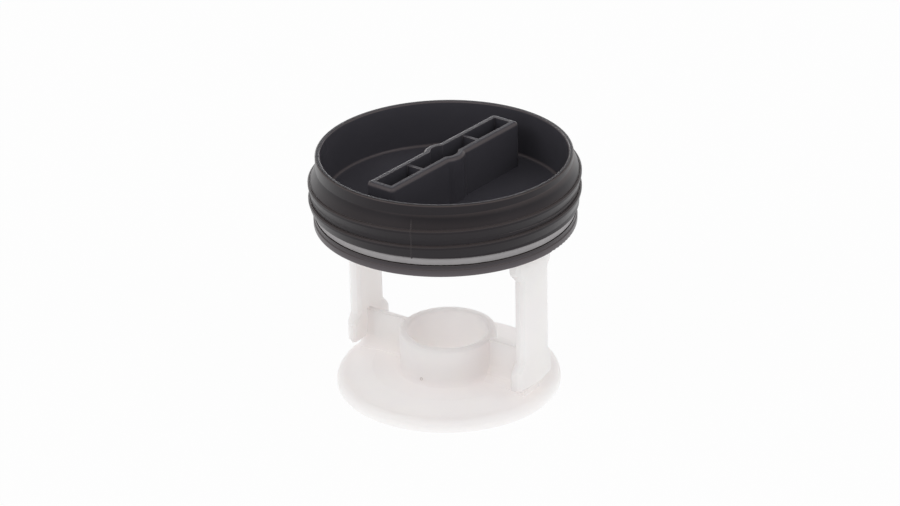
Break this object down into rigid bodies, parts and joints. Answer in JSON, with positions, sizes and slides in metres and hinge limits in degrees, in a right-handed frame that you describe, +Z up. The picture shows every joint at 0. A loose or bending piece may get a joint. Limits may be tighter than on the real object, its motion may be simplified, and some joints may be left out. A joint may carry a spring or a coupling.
{
  "type": "washer pump filter",
  "caption": "Screw-in drain pump filter: black threaded cap with a hollow grip bar in its cup, grey sealing ring, and white cage with a tube on a round end disc.",
  "frame": {"origin": "middle of the cage's end disc, on its lower face", "axes": "+Z up the part's axis from the end disc to the cap's rim, +X along the grip bar"},
  "size_m": [0.066, 0.066, 0.0619],
  "materials": {
    "black_plastic": "satin moulded",
    "grey_rubber": "matt",
    "white_plastic": "milky moulded"
  },
  "bodies": {
    "root": {"screw_cap": "black_plastic", "sealing_ring": "grey_rubber", "filter_cage": "white_plastic"}
  },
  "joints": []
}
